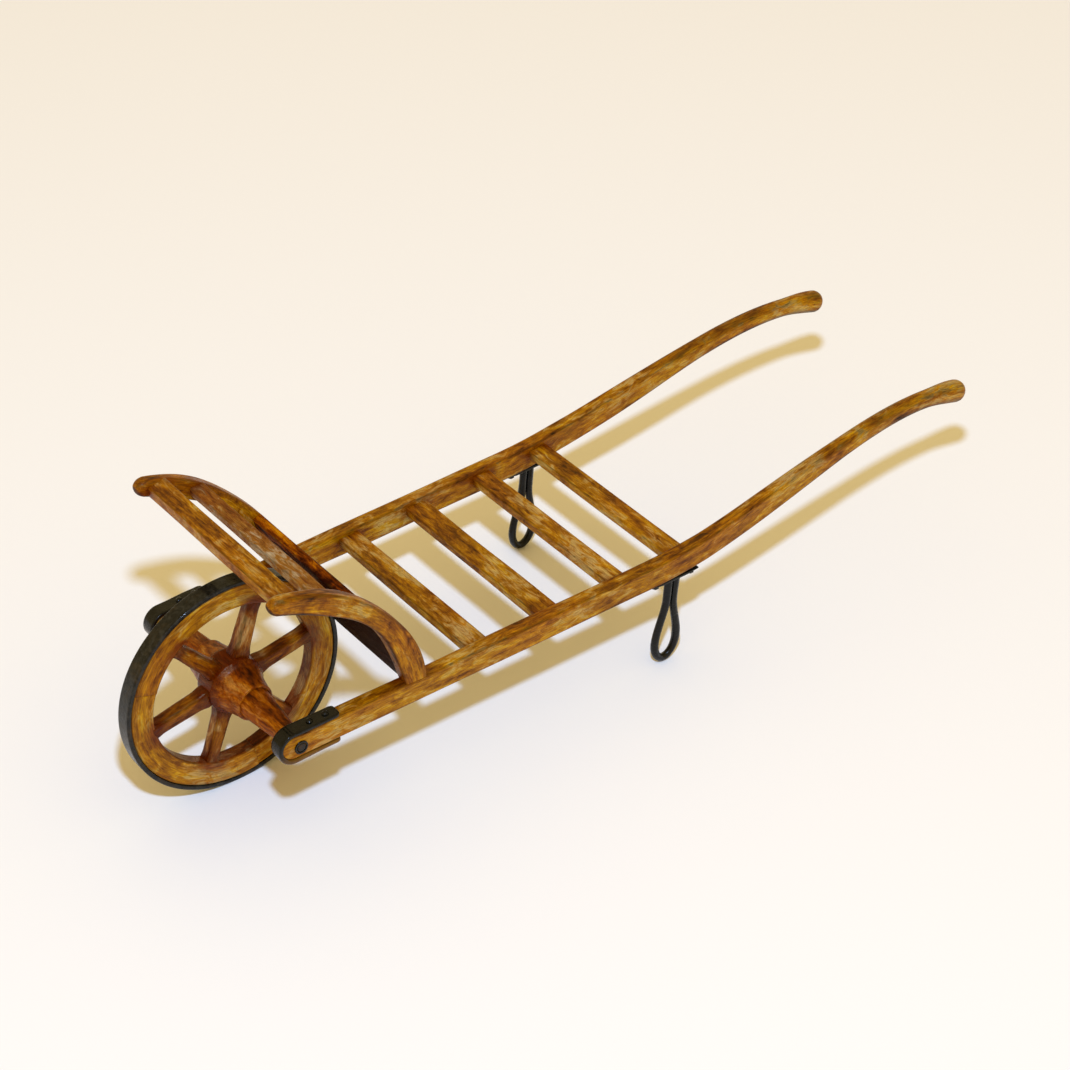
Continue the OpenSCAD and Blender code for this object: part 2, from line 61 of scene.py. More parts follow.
AXLE = np.array(frame["joints"][0]["pos_m"])
TYRE_LOW, TYRE_HIGH = (np.array(v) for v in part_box("tyre"))
WHEEL_R = (TYRE_HIGH[2] - TYRE_LOW[2]) / 2
TYRE_HALF_W = TYRE_HIGH[1]
TYRE_T = 0.009
FELLOE_OUT = WHEEL_R - TYRE_T
FELLOE_H = 0.049
FELLOE_IN = FELLOE_OUT - FELLOE_H
FELLOE_HALF_W = float(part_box("felloe_1")[1][1])
SPOKES = 6
FELLOES = 3
FIRST_SPOKE = math.radians(50)
SPOKE_HALF_W, SPOKE_TIP_HALF_W, SPOKE_HALF_T = 0.0165, 0.0135, 0.013
HUB_HALF = float(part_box("hub")[1][1])
DRUM_R = float(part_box("hub")[1][2]) - AXLE[2]
DRUM_HALF, NOSE_R, NOSE_END_R = 0.025, 0.048, 0.038
AXLE_R, AXLE_MID_R, AXLE_END_R, AXLE_SLIM = 0.033, 0.024, 0.021, 0.040
AXLE_HALF = float(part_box("axle")[1][1])
GUDGEON_R = 0.010
BUSH_R = float(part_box("left_bush")[1][2]) - AXLE[2]

SPLAY = math.radians(0.85)
RAIL_HALF_T = 0.015
RAIL_Y = float(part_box("left_bush")[1][1]) - 0.002 - RAIL_HALF_T
RAIL_Z = float(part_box("slat_pegs")[0][2])
RAIL_HALF_H = 0.026
RAIL_MID = RAIL_Z + RAIL_HALF_H
RAIL_TOP = RAIL_Z + 2 * RAIL_HALF_H
RAIL_NOSE = 0.038
END_S = AXLE[0] - float(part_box("left_rail")[0][0])
CROOK_S, GRIP_RISE, HUMP = 0.800, 0.083, 0.074
NECK_R, KNOB_R, KNOB_L = 0.0185, 0.023, 0.118
LEAN_S, HANDLE_IN = 0.950, math.radians(1.3)
SLAT_NAMES = [f"slat_{i}" for i in range(1, 5)]
SLAT_SHARES = (0.96, 1.0, 0.88, 0.92)
ARM_HALF_T = 0.014
ARM_TIP_R = 0.018
ARM_REACH, ARM_RISE, ARM_FOOT_W = 0.279, 0.299, 0.046
ARM_S = AXLE[0] - float(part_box("arm_pegs")[0][0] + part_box("arm_pegs")[1][0]) / 2
RIGHT_EASE = 0.024
BOARD_W, BOARD_T, BOARD_LEAN = 0.133, 0.020, math.radians(16)
FRONT_BAR_HALF_W, FRONT_BAR_HALF_T = 0.021, 0.012
SECOND_BAR_HALF_W, SECOND_BAR_HALF_T = 0.016, 0.009
STRAP_T, STRAP_L = 0.008, 0.088
NAIL_SHARES = (0.33, 0.72)
NAIL_R, NAIL_H = 0.0068, 0.0052
LEG_R, LEG_S, LEG_RAKE = 0.008, 0.877, 0.018
LOOP_HALF_W, LOOP_Z, STRAND_L = 0.0265, 0.050, 0.052
PLATE_HALF_L, PLATE_T = 0.058, 0.006
PEG_R, PEG_PROUD = 0.004, 0.0012
SLAT_PEG_L, SLAT_PEG_INSET = 0.036, RAIL_HALF_T - 0.011
ARM_PEG_L, ARM_PEG_DROP = 0.026, 0.015

# ---- Camera, light and floor ----

CAMERA_AT = Vector((AXLE[0] + 1.9543, 3.4620, 3.5411))
CAMERA_LOOKS_AT = Vector((AXLE[0] - 0.7162, 0.0, 0.2393))
CAMERA_LENS = 92.8
KEY_AT = Vector((AXLE[0] + 1.363, 2.718, 4.391))
KEY_RADIUS = 0.14
KEY_POWER, KEY_COLOUR = 1230, (0.45, 0.63, 0.98)
# The lamp's light doesn't fade with distance: everything is lit as if it stood this far away.
KEY_REACH = 5.5
AROUND_COLOUR, BACKDROP_COLOUR = (0.80, 0.60, 0.26, 1), (0.90, 0.86, 0.80, 1)
FLOOR_SIDE, FLOOR_COLOUR = 40.0, (0.86, 0.845, 0.82, 1)


def make_camera():
    """A long lens, level, aimed at a point over the middle of the bed."""
    camera = bpy.data.objects.new("camera", bpy.data.cameras.new("camera"))
    bpy.context.scene.collection.objects.link(camera)
    camera.location = CAMERA_AT
    camera.rotation_euler = (CAMERA_LOOKS_AT - CAMERA_AT).to_track_quat("-Z", "Y").to_euler()
    camera.data.lens = CAMERA_LENS
    camera.data.sensor_width = 36
    bpy.context.scene.camera = camera


def make_light():
    """A cool soft lamp close by, on the camera's side of the wheel, and warm light from all round."""
    key = bpy.data.objects.new("key", bpy.data.lights.new("key", "POINT"))
    bpy.context.scene.collection.objects.link(key)
    key.location = KEY_AT
    key.data.energy = KEY_POWER
    key.data.color = KEY_COLOUR
    key.data.shadow_soft_size = KEY_RADIUS
    key.data.use_nodes = True
    even = key.data.node_tree.nodes.new("ShaderNodeLightFalloff")
    even.inputs["Strength"].default_value = 1 / KEY_REACH**2
    glow = key.data.node_tree.nodes["Emission"]
    key.data.node_tree.links.new(even.outputs["Constant"], glow.inputs["Strength"])
    world = bpy.data.worlds.new("studio")
    bpy.context.scene.world = world
    world.use_nodes = True
    tree = world.node_tree
    seen = tree.nodes.new("ShaderNodeBackground")
    seen.inputs["Color"].default_value = BACKDROP_COLOUR
    path = tree.nodes.new("ShaderNodeLightPath")
    mix = tree.nodes.new("ShaderNodeMixShader")
    warm = tree.nodes["Background"]
    warm.inputs["Color"].default_value = AROUND_COLOUR
    tree.links.new(path.outputs["Is Camera Ray"], mix.inputs[0])
    tree.links.new(warm.outputs[0], mix.inputs[1])
    tree.links.new(seen.outputs[0], mix.inputs[2])
    tree.links.new(mix.outputs[0], tree.nodes["World Output"].inputs["Surface"])
    bpy.context.scene.view_settings.view_transform = "Standard"


def make_floor():
    """A wide level sheet under the wheel and the legs."""
    corners = [(x * FLOOR_SIDE, y * FLOOR_SIDE, 0) for x, y in ((-1, -1), (1, -1), (1, 1), (-1, 1))]
    mesh = bpy.data.meshes.new("floor")
    mesh.from_pydata(corners, [], [(0, 1, 2, 3)])
    floor = bpy.data.objects.new("floor", mesh)
    bpy.context.scene.collection.objects.link(floor)
    material = bpy.data.materials.new("pale_floor")
    material.use_nodes = True
    shader = material.node_tree.nodes["Principled BSDF"]
    shader.inputs["Base Color"].default_value = FLOOR_COLOUR
    shader.inputs["Roughness"].default_value = 0.75
    shader.inputs["Specular IOR Level"].default_value = 0.15
    mesh.materials.append(material)


# ---- Grids and sections ----


def rounded_section(flat_a=8, flat_b=8, arc=4):
    """A rounded rectangle, anticlockwise: for each point its seat on the inner rectangle, from -1 to
    1 each way, and its outward normal. Arcs turn a quarter at each corner, and flats join them."""
    seats, angles = [], []
    corners = np.array([[1, 1], [-1, 1], [-1, -1], [1, -1]], float)
    for k in range(4):
        turn = np.linspace(0, 90, arc + 1) + 90 * k
        seats.append(np.repeat(corners[k][None], arc + 1, 0))
        angles.append(turn)
        steps = flat_a if k % 2 == 0 else flat_b
        share = np.linspace(0, 1, steps + 1)[1:-1, None]
        seats.append(corners[k] * (1 - share) + corners[(k + 1) % 4] * share)
        angles.append(np.full(steps - 1, 90.0 * (k + 1)))
    angle = np.radians(np.concatenate(angles))
    return np.concatenate(seats), np.stack([np.cos(angle), np.sin(angle)], 1)


def ticks(start, stop, step, end=0.003, turns=4):
    """Places from start to stop about step apart, closing up in a quarter-round at both ends, where
    the place is end times one less the cosine of the turn."""
    close = end * (1 - np.cos(np.linspace(0, math.pi / 2, turns + 1)[:-1]))
    count = max(2, int(round((stop - start - 2 * end) / step)))
    middle = np.linspace(start + end, stop - end, count + 1)
    return np.concatenate([start + close, middle, (stop - close)[::-1]])


def quarter_round(s, start, stop, end=0.003):
    """How far a face draws in near the two ends, so that they are rounded off with radius end."""
    near = np.clip(np.minimum(s - start, stop - s), 0, end)
    return end - np.sqrt(np.maximum(end**2 - (end - near) ** 2, 0))


def waver(grain, rng, size, along=0.16, across=0.035, terms=9):
    """Hand-worked unevenness: a sum of sine waves of random heading and phase, long with the grain
    and short across it."""
    total = np.zeros(grain.shape[:-1])
    for _ in range(terms):
        wave = np.array([rng.normal() / along, rng.normal() / across, rng.normal() / across])
        total += np.sin(grain @ wave + rng.uniform(0, 2 * math.pi))
    return size * total / math.sqrt(terms)


def put_mesh(name, rings, normals, grain, closed_path=False):
    """A mesh from a grid of rings: quads between neighbours, and a pole that closes each end."""
    n, m = rings.shape[:2]
    ring = np.arange(n * m).reshape(n, m)
    top = ring if closed_path else ring[:-1]
    nxt = np.roll(ring, -1, 0) if closed_path else ring[1:]
    quads = np.stack([top, np.roll(top, -1, 1), np.roll(nxt, -1, 1), nxt], -1).reshape(-1, 4)
    points = rings.reshape(-1, 3)
    normal = normals.reshape(-1, 3)
    fibre = grain.reshape(-1, 3)
    faces = quads.tolist()
    if not closed_path:
        for row, sign in ((0, -1), (n - 1, 1)):
            pole = len(points)
            points = np.vstack([points, rings[row].mean(0)])
            normal = np.vstack([normal, normals[row].mean(0)])
            fibre = np.vstack([fibre, grain[row].mean(0)])
            a, b = ring[row], np.roll(ring[row], -1)
            fan = np.stack([b, a, np.full(m, pole)] if sign < 0 else [a, b, np.full(m, pole)], 1)
            faces += fan.tolist()
    mesh = bpy.data.meshes.new(name)
    mesh.from_pydata(points.tolist(), [], faces)
    mesh.polygons.foreach_set("use_smooth", np.ones(len(mesh.polygons), bool))
    mesh.update()
    return mesh, points, normal, fibre


def attribute(mesh, name, values, kind="FLOAT"):
    """A value at each point, for the finishes to read."""
    field = "vector" if kind == "FLOAT_VECTOR" else "value"
    layer = mesh.attributes.new(name, kind, "POINT")
    layer.data.foreach_set(field, np.ascontiguousarray(values, np.float32).ravel())


def ring_sweep(line, side, up, half_a, half_b, radius, s, section, rng, uneven=0.0006, caps=(0.6, 0.25),
               closed_path=False, waves=(0.16, 0.035)):
    """A rounded section carried along a line. A point is the line, plus side times (seat times the
    inner half width plus the normal times the corner radius), plus the same with up. It is then
    moved along its normal by waver(). The end rings shrink to a pole."""
    seat, facing = section
    half_a, half_b, radius = (np.broadcast_to(np.asarray(v, float), s.shape)
                              for v in (half_a, half_b, radius))
    radius = np.minimum(radius, np.minimum(half_a, half_b) * 0.98)
    if not closed_path:
        first, last = [0] * len(caps), [len(s) - 1] * len(caps)
        order = np.array(first + list(range(len(s))) + last)
        scale = np.concatenate([caps[::-1], np.ones(len(s)), caps])
        line, side, up, s = line[order], side[order], up[order], s[order]
        half_a, half_b, radius = half_a[order] * scale, half_b[order] * scale, radius[order] * scale
    u = seat[:, 0] * (half_a - radius)[:, None] + facing[:, 0] * radius[:, None]
    v = seat[:, 1] * (half_b - radius)[:, None] + facing[:, 1] * radius[:, None]
    grain = np.stack([np.broadcast_to(s[:, None], u.shape), u, v], -1)
    normal = side[:, None] * facing[None, :, :1] + up[:, None] * facing[None, :, 1:]
    points = line[:, None] + side[:, None] * u[..., None] + up[:, None] * v[..., None]
    push = waver(grain, rng, uneven, *waves)
    return points + normal * push[..., None], normal, grain, 2 * np.abs(facing[:, 0] * facing[:, 1])


def lathe_rings(profile, rng, uneven=0.0006, around=96):
    """A profile of (place along the axle, radius), turned about the axle."""
    y, r = np.array(profile, float).T
    angle = np.linspace(0, 2 * math.pi, around, endpoint=False)
    spin = np.stack([np.cos(angle), np.zeros(around), np.sin(angle)], 1)
    grain = np.stack([np.broadcast_to(y[:, None], (len(y), around)),
                      r[:, None] * np.cos(angle), r[:, None] * np.sin(angle)], -1)
    push = waver(grain, rng, uneven, 0.08, 0.03) * np.clip(r / 0.004, 0, 1)[:, None]
    points = AXLE + np.array([0, 1, 0]) * y[:, None, None] + spin * (r[:, None] + push)[..., None]
    return points[:, ::-1], np.broadcast_to(spin, points.shape)[:, ::-1], grain[:, ::-1], np.zeros(around)


def smoothed(profile, step=0.003, radius=0.002):
    """A profile through the given corners, each rounded off, with points about step apart."""
    corner = np.array(profile, float)
    out = [corner[0]]
    for before, here, after in zip(corner[:-2], corner[1:-1], corner[2:]):
        a, b = before - here, after - here
        cut = min(radius, np.linalg.norm(a) * 0.45, np.linalg.norm(b) * 0.45)
        p, q = here + a / np.linalg.norm(a) * cut, here + b / np.linalg.norm(b) * cut
        t = np.linspace(0, 1, 5)[:, None]
        out.extend((1 - t) ** 2 * p + 2 * t * (1 - t) * here + t**2 * q)
    out.append(corner[-1])
    fine = [out[0]]
    for a, b in zip(out[:-1], out[1:]):
        count = max(1, int(np.linalg.norm(np.array(b) - a) / step))
        fine.extend(a + (np.array(b) - a) * k / count for k in range(1, count + 1))
    return np.array(fine)


# ---- The stain that gathers in joints ----


def both(points):
    """The same points on both sides of the barrow."""
    points = np.array(points, float)
    return np.vstack([points, points * [1, -1, 1]])


def rail_point(s, z, inset=0.0):
    """A point on the left shaft's line at distance s behind the axle, inset towards the middle."""
    return [AXLE[0] - s, RAIL_Y + s * math.tan(SPLAY) - inset, z]


def wheel_point(angle, r, y=0.0):
    """A point of the wheel, from its angle and radius."""
    return [AXLE[0] + r * math.cos(angle), y, AXLE[2] + r * math.sin(angle)]


def spoke_angle(k):
    """The angle of a spoke: the first one's, and an equal share of the circle for each after it."""
    return FIRST_SPOKE + 2 * math.pi * k / SPOKES


SLAT_PLACES = [AXLE[0] - float(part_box(n)[0][0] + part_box(n)[1][0]) / 2 for n in SLAT_NAMES]
SLAT_Z = float(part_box("slat_1")[0][2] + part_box("slat_1")[1][2]) / 2
TOP_BAR, MIDDLE_BAR = ((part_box(n)[0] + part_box(n)[1]) / 2 for n in ("top_bar", "middle_bar"))

# For each kind of joint, the spots round which varnish gathers and how far it reaches: the slats, the
# arms' feet, the front bar and the second bar, then both ends of each spoke.
JOINTS = [
    (both([rail_point(s + d, SLAT_Z, RAIL_HALF_T) for s in SLAT_PLACES for d in (-0.022, 0.022)]), 0.017),
    (both([rail_point(ARM_S + d, RAIL_TOP, RAIL_HALF_T) for d in (-0.03, 0.0, 0.03)]), 0.020),
    (both([rail_point(AXLE[0] - TOP_BAR[0] + d, TOP_BAR[2], ARM_HALF_T) for d in (-0.02, 0.02)]), 0.018),
    (both([rail_point(AXLE[0] - MIDDLE_BAR[0], MIDDLE_BAR[2], ARM_HALF_T)]), 0.026),
    (np.array([wheel_point(spoke_angle(k) + d, DRUM_R, y) for k in range(SPOKES)
               for d in (-0.28, 0.28) for y in (-SPOKE_HALF_T, SPOKE_HALF_T)]), 0.020),
    (np.array([wheel_point(spoke_angle(k) + d, FELLOE_IN, y) for k in range(SPOKES)
               for d in (-0.08, 0.08) for y in (-SPOKE_HALF_T, SPOKE_HALF_T)]), 0.020)]


def stain_at(points):
    """From 0 to 1: the sum over the joints of the bell curve of the distance over the joint's reach."""
    total = np.zeros(len(points))
    for spots, reach in JOINTS:
        far = ((points[:, None] - spots[None]) ** 2).sum(-1)
        total += np.exp(-far / reach**2).sum(1)
    return np.clip(total, 0, 1)


# ---- Pieces ----


def make_piece(name, body, nodes, finish, grids, gold=None, stain=0.0, closed_path=False, seed=0):
    """One object from one or more grids, with its attributes, its finish and what it stands for."""
    points, normals, fibres, edges = [], [], [], []
    meshes = []
    for rings, normal, grain, edge in grids:
        mesh, p, q, g = put_mesh(name, rings, normal, grain, closed_path)
        e = np.zeros(len(p))
        e[:rings.shape[0] * rings.shape[1]] = np.tile(edge, rings.shape[0])
        meshes.append(mesh)
        for store, values in ((points, p), (normals, q), (fibres, g), (edges, e)):
            store.append(values)
    mesh = meshes[0]
    if len(meshes) > 1:
        base, faces = 0, []
        for part, p in zip(meshes, points):
            faces += [[v + base for v in face.vertices] for face in part.polygons]
            base += len(p)
        mesh = bpy.data.meshes.new(name)
        mesh.from_pydata(np.concatenate(points).tolist(), [], faces)
        mesh.polygons.foreach_set("use_smooth", np.ones(len(mesh.polygons), bool))
    p, q, g, e = (np.concatenate(v) for v in (points, normals, fibres, edges))
    shift = np.random.default_rng(1000 + seed).uniform(-3, 3, 3)
    attribute(mesh, "grain", g + shift, "FLOAT_VECTOR")
    # Painted light and shade by which way a face turns on the wood, and the straps' real brown rub.
    attribute(mesh, "gold", np.zeros(len(p)) if gold is None else gold(p, q))
    attribute(mesh, "edge", e)
    # A piece's extra varnish: a little on the hub and spokes, painted shade inside the rim, and painted
    # light where it is taken off the board's top.
    extra_stain_and_shade = stain(p, q) if callable(stain) else stain
    attribute(mesh, "stain", np.clip(stain_at(p) + extra_stain_and_shade, 0, 1))
    mesh.materials.append(finish)
    piece = bpy.data.objects.new(name, mesh)
    bpy.context.scene.collection.objects.link(piece)
    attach(piece, body)
    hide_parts(*nodes)


def painted_light_by_facing(points, normals):
    """Partly the wood's own colour, partly painted light by which way a face turns: golden on the
    sides and a little browner on top, with painted shade beneath.
    """
    return np.where(normals[:, 2] > 0, 0.88 - 0.26 * normals[:, 2], 0.88 + 1.35 * normals[:, 2])


def board_painted_light_and_shade(points, normals):
    """Painted light and shade: orange along the lit top, and nearly black on the front face below it,
    partly dark stain and partly painted shade.
    """
    low = 1 - ease((points[:, 2] - RAIL_TOP - 0.085) / 0.02)
    return 0.4 + 0.35 * normals[:, 2] - 1.4 * low * np.clip(normals[:, 0], 0, 1)


def board_top_painted_light(points, normals):
    """Painted light: faces turned up lose the joints' dark varnish, so the top edge stays lit orange as
    far as the arms.
    """
    return -0.8 * np.clip(normals[:, 2], 0, 1)


def strap_brown(points, normals):
    """The strap's lower leg is rubbed brown, and its turn round the nose a little less so."""
    behind = ease((AXLE[0] + 0.05 - points[:, 0]) / 0.05)
    return ease((RAIL_MID + 0.004 - points[:, 2]) / 0.024) * (0.45 + 0.55 * behind)


def spoke_painted_light(points, normals):
    """Painted light by which way a face turns: golden on the spokes' broad sides, browner on their edges."""
    return 0.25 + 0.35 * np.abs(normals[:, 1])


def hub_painted_light(points, normals):
    """Painted light as on the spokes, and more orange all round the hub and the axle."""
    return spoke_painted_light(points, normals) + 0.2


def rim_painted_light_and_shade(points, normals):
    """Painted light and shade: golden on the flat sides of the rim, painted shade on the faces inside it."""
    return -0.2 + 1.1 * np.abs(normals[:, 1])


def rim_inner_painted_shade(points, normals):
    """Painted shade: the joints' dark varnish colour laid along the inward faces of the rim."""
    inward = np.clip(-((points - AXLE) * normals).sum(1) / FELLOE_IN, 0, 1)
    return 0.6 * inward


def mirrored(grid):
    """The same grid on the right side, with its rings turned round so that faces stay outward."""
    rings, normals, grain, edge = grid
    flip = np.array([1, -1, 1])
    return (rings * flip)[:, ::-1], (normals * flip)[:, ::-1], grain[:, ::-1], edge[::-1]


def bezier(p, t):
    """A cubic curve: its four points, weighted by the cubic Bernstein shares of t."""
    t = t[:, None]
    return (1 - t) ** 3 * p[0] + 3 * (1 - t) ** 2 * t * p[1] + 3 * (1 - t) * t**2 * p[2] + t**3 * p[3]


def ease(t):
    """From 0 to 1 with a soft start and stop: three times t squared, less twice t cubed."""
    t = np.clip(t, 0, 1)
    return t * t * (3 - 2 * t)


def frames_on(line, across):
    """Unit side and up vectors along a line: side is across, and up is square to side and to it."""
    ahead = np.gradient(line, axis=0)
    ahead /= np.linalg.norm(ahead, axis=1)[:, None]
    side = across - (across * ahead).sum(1)[:, None] * ahead
    side /= np.linalg.norm(side, axis=1)[:, None]
    return side, np.cross(ahead, side)


def shaft_grid(rng):
    """A shaft and its handle: a rounded section on a line that is level, then a cubic curve up to the
    grip. It is round-nosed in front, thins to the neck and swells to a knob."""
    knob_s = END_S - KNOB_R
    handle = np.array([[CROOK_S, RAIL_MID], [CROOK_S + 0.38 * (knob_s - CROOK_S), RAIL_MID],
                       [CROOK_S + 0.69 * (knob_s - CROOK_S), RAIL_MID + GRIP_RISE + HUMP],
                       [knob_s, RAIL_MID + GRIP_RISE]])
    nose_turn = np.linspace(0.97, 0, 12) * math.pi / 2
    nose_s = -(RAIL_NOSE - RAIL_HALF_H) - RAIL_HALF_H * np.sin(nose_turn)
    level_s = np.linspace(nose_s[-1], CROOK_S, 130)[1:]
    t = np.linspace(0, 1, 150)[1:]
    curve = bezier(handle, t)
    end = np.linspace(0, 0.97, 10)[1:] * math.pi / 2
    slope = curve[-1] - curve[-2]
    slope /= np.linalg.norm(slope)
    end_line = curve[-1] + slope * (KNOB_R * np.sin(end))[:, None]
    s = np.concatenate([nose_s, level_s, curve[:, 0], end_line[:, 0]])
    z = np.concatenate([np.full(len(nose_s) + len(level_s), RAIL_MID), curve[:, 1], end_line[:, 1]])
    drift = np.clip(s - LEAN_S, 0, None) * math.tan(HANDLE_IN + SPLAY)
    line = np.stack([AXLE[0] - s, RAIL_Y + s * math.tan(SPLAY) - drift, z], 1)
    side, up = frames_on(line, np.array([0.0, -1.0, 0.0]))
    run = np.concatenate([[0], np.cumsum(np.linalg.norm(np.diff(line, axis=0), axis=1))])
    flat = len(nose_s) + len(level_s)
    t_all = np.concatenate([np.zeros(flat), t, np.ones(len(end))])
    depth = RAIL_HALF_H + (NECK_R - RAIL_HALF_H) * ease((t_all - 0.3) / 0.6)
    knob = ease((s - (END_S - KNOB_L)) / (KNOB_L - KNOB_R))
    depth += (KNOB_R - NECK_R) * knob
    width = RAIL_HALF_T + (KNOB_R - 0.001 - RAIL_HALF_T) * knob
    depth[:len(nose_s)] = RAIL_HALF_H * np.cos(nose_turn)
    depth[len(s) - len(end):] *= np.cos(end)
    width[len(s) - len(end):] *= np.cos(end)
    corner = 0.0045 + 0.0115 * ease((s - 1.05) / 0.35) + 0.008 * knob
    section = rounded_section(8, 10, 5)
    return ring_sweep(line, side, up, width, depth, corner, run, section, rng, 0.0009, waves=(0.11, 0.03))


def bar_grid(y_half, x, z, half_a, half_b, rng, corner=0.003, lean=0.0, into=0.008, uneven=0.0009):
    """A bar across the barrow: a rounded section carried along Y, turned about Y by lean."""
    stop = y_half + into
    s = ticks(-stop, stop, 0.005)
    draw = quarter_round(s, -stop, stop)
    line = np.stack([np.full(len(s), x), s, np.full(len(s), z)], 1)
    across = np.array([-math.cos(lean), 0.0, math.sin(lean)])
    side = np.broadcast_to(across, line.shape).copy()
    up = np.cross(np.broadcast_to([0.0, 1.0, 0.0], line.shape), side)
    return ring_sweep(line, side, up, half_a - draw, half_b - draw, corner, s,
                      rounded_section(10, 6, 4), rng, uneven, waves=(0.10, 0.03))


def arm_grid(ease_in, rng):
    """An arm of the guard: its back and front edges are cubic curves, and the section runs on the
    line midway between them, as wide as they are apart. The tip is a half round."""
    foot = -ARM_S
    tip_z = RAIL_TOP + ARM_RISE
    back = np.array([[foot - ARM_FOOT_W / 2, RAIL_TOP],
                     [foot - 0.047 * ARM_REACH + ease_in, RAIL_TOP + 0.425 * ARM_RISE],
                     [foot + 0.398 * ARM_REACH + ease_in, RAIL_TOP + 0.95 * ARM_RISE],
                     [foot + ARM_REACH, tip_z + ARM_TIP_R]])
    front = np.array([[foot + ARM_FOOT_W / 2, RAIL_TOP],
                      [foot + 0.2 * ARM_REACH + ease_in, RAIL_TOP + 0.485 * ARM_RISE],
                      [foot + 0.345 * ARM_REACH + ease_in, RAIL_TOP + 0.72 * ARM_RISE],
                      [foot + ARM_REACH, tip_z - ARM_TIP_R]])
    t = np.linspace(0, 1, 90)
    b, f = bezier(back, t), bezier(front, t)
    middle, half = (b + f) / 2, np.linalg.norm(b - f, axis=1) / 2
    sink = np.linspace(0.012, 0.002, 5)
    below = np.stack([np.full(5, middle[0, 0]), RAIL_TOP - sink], 1)
    turn = np.linspace(0, 0.96, 9)[1:] * math.pi / 2
    slope = (middle[-1] - middle[-2]) / np.linalg.norm(middle[-1] - middle[-2])
    tip = middle[-1] + slope * (ARM_TIP_R * np.sin(turn))[:, None]
    path = np.concatenate([below, middle, tip])
    half = np.concatenate([np.full(5, half[0]), half, half[-1] * np.cos(turn)])
    thick = np.full(len(path), ARM_HALF_T)
    thick[-len(turn):] *= np.sqrt(np.cos(turn))
    near_tip = ease((t - 0.9) / 0.1)
    thick[5:5 + len(t)] += 0.0015 * near_tip
    x = AXLE[0] + path[:, 0] * math.cos(SPLAY)
    line = np.stack([x, RAIL_Y + (AXLE[0] - x) * math.tan(SPLAY), path[:, 1]], 1)
    side, up = frames_on(line, np.array([0.0, -1.0, 0.0]))
    run = np.concatenate([[0], np.cumsum(np.linalg.norm(np.diff(line, axis=0), axis=1))])
    corner = np.full(len(path), 0.0045)
    corner[5:] += 0.006 * ease((np.arange(len(path) - 5) / len(t) - 0.7) / 0.3)
    return ring_sweep(line, side, up, thick, half, corner, run, rounded_section(8, 10, 4), rng, 0.0009,
                      waves=(0.09, 0.03))


def board_grid(rng):
    """The leaning board: a wide thin section along Y, its foot on the shafts."""
    foot = AXLE[0] - (ARM_S - ARM_FOOT_W / 2 + 0.002)
    across = np.array([math.sin(BOARD_LEAN), 0, math.cos(BOARD_LEAN)])
    back = np.array([-math.cos(BOARD_LEAN), 0, math.sin(BOARD_LEAN)])
    centre = np.array([foot, 0, RAIL_TOP]) + across * (0.001 + BOARD_W / 2) + back * BOARD_T / 2
    reach = RAIL_Y + (AXLE[0] - centre[0]) * math.tan(SPLAY) - ARM_HALF_T
    return bar_grid(reach, centre[0], centre[2], BOARD_W / 2, BOARD_T / 2, rng, 0.004,
                    math.pi / 2 + BOARD_LEAN, 0.005, 0.0008)


def strap_grid(rng):
    """The strap bent round a shaft's nose: a flat section on a line that runs forward over the top,
    round the half circle of the nose and back beneath."""
    r = RAIL_HALF_H + STRAP_T / 2
    centre_s = -(RAIL_NOSE - RAIL_HALF_H)
    leg = ticks(0, STRAP_L - centre_s, 0.004, 0.004)
    legs = STRAP_L - leg
    keep = legs > centre_s + 0.001
    turn = np.linspace(0, math.pi, 30)
    s = np.concatenate([legs[keep], centre_s - r * np.sin(turn), legs[keep][::-1]])
    z = np.concatenate([np.full(keep.sum(), RAIL_MID + r), RAIL_MID + r * np.cos(turn),
                        np.full(keep.sum(), RAIL_MID - r)])
    line = np.stack([AXLE[0] - s, RAIL_Y + s * math.tan(SPLAY), z], 1)
    side, up = frames_on(line, np.array([0.0, 1.0, 0.0]))
    run = np.concatenate([[0], np.cumsum(np.linalg.norm(np.diff(line, axis=0), axis=1))])
    draw = quarter_round(run, 0, run[-1], 0.010)
    thin = quarter_round(run, 0, run[-1], 0.003)
    return ring_sweep(line, side, up, RAIL_HALF_T + 0.001 - draw, STRAP_T / 2 - thin, 0.0028, run,
                      rounded_section(8, 3, 4), rng, 0.0006, waves=(0.03, 0.02))


def nail_grids(rng):
    """Domed heads on the straps, above and below, on both sides: each a low turned dome."""
    grids = []
    for side in (1, -1):
        for share in NAIL_SHARES:
            for up in (1, -1):
                s = share * STRAP_L
                x, y, _ = rail_point(s, 0)
                base = RAIL_MID + up * (RAIL_HALF_H + STRAP_T - 0.001)
                grids.append(dome_grid([x, side * y, base], up, NAIL_R, NAIL_H, rng))
    return grids


def dome_grid(at, up, radius, height, rng, around=20):
    """A domed head: its rings are a quarter ellipse of the radius and height, turned about Z."""
    turn = np.linspace(0, 0.95, 7) * math.pi / 2
    r = np.concatenate([[radius * 0.5, radius], radius * np.cos(turn)])
    h = np.concatenate([[0, 0], 0.001 + height * np.sin(turn)]) * up
    angle = np.linspace(0, 2 * math.pi, around, endpoint=False)
    spin = np.stack([np.cos(angle), np.sin(angle), 0 * angle], 1)
    wobble = 1 + 0.06 * np.sin(2 * angle + rng.uniform(0, 6))
    rings = np.array(at) + spin * (r[:, None] * wobble)[..., None] + np.array([0, 0, 1]) * h[:, None, None]
    if up < 0:
        rings = rings[:, ::-1]
    return rings, np.broadcast_to([0, 0, 1.0 * up], rings.shape), rings - np.array(at), np.zeros(around)


